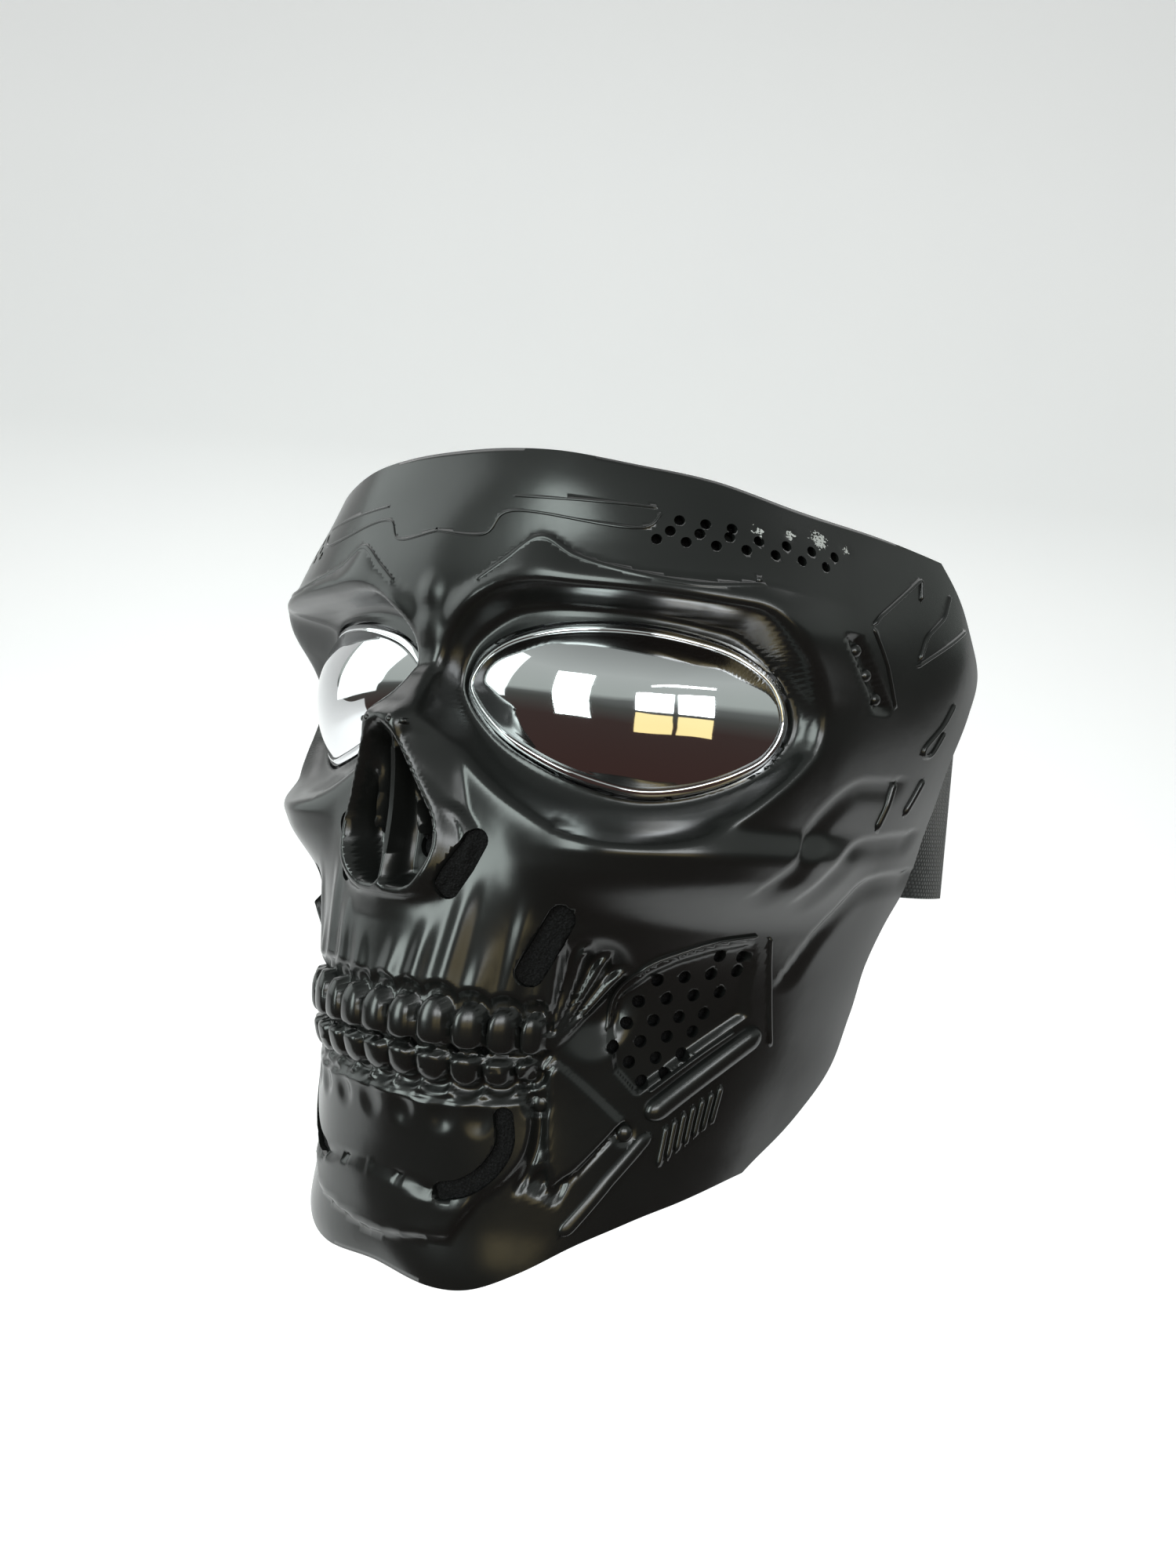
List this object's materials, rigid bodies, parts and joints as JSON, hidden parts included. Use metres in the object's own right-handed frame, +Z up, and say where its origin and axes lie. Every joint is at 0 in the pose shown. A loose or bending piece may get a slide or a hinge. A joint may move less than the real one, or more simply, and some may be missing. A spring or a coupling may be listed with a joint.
{
  "type": "skull mask",
  "caption": "Full-face skull mask: glossy black moulded shell with mirror eye lenses, foam-backed vent slots and a woven elastic strap behind the head.",
  "frame": {"origin": "on the upright axis of the wearer's head, midway between the sides, at the height of the eyes", "axes": "the face looks towards -Y, +Z is up, +X is the wearer's left"},
  "size_m": [0.2088, 0.1437, 0.2105],
  "materials": {
    "shell": "black moulded plastic, high gloss",
    "lens": "silver mirror coating on a domed plastic lens",
    "foam": "black open-cell foam",
    "elastic": "charcoal woven elastic",
    "anchor": "plain black moulding"
  },
  "bodies": {
    "root": {"mask_shell": "shell", "lens_left": "lens", "lens_right": "lens", "foam_nose_left": "foam", "foam_nose_right": "foam", "foam_cheek_left": "foam", "foam_cheek_right": "foam", "foam_chin_left": "foam", "foam_chin_right": "foam", "foam_nostril_left": "foam", "foam_nostril_right": "foam", "foam_brow_left": "foam", "foam_brow_right": "foam", "foam_grille_left": "foam", "foam_grille_right": "foam", "foam_mouth": "foam", "strap": "elastic", "strap_anchor_left": "anchor", "strap_anchor_right": "anchor"}
  },
  "joints": []
}
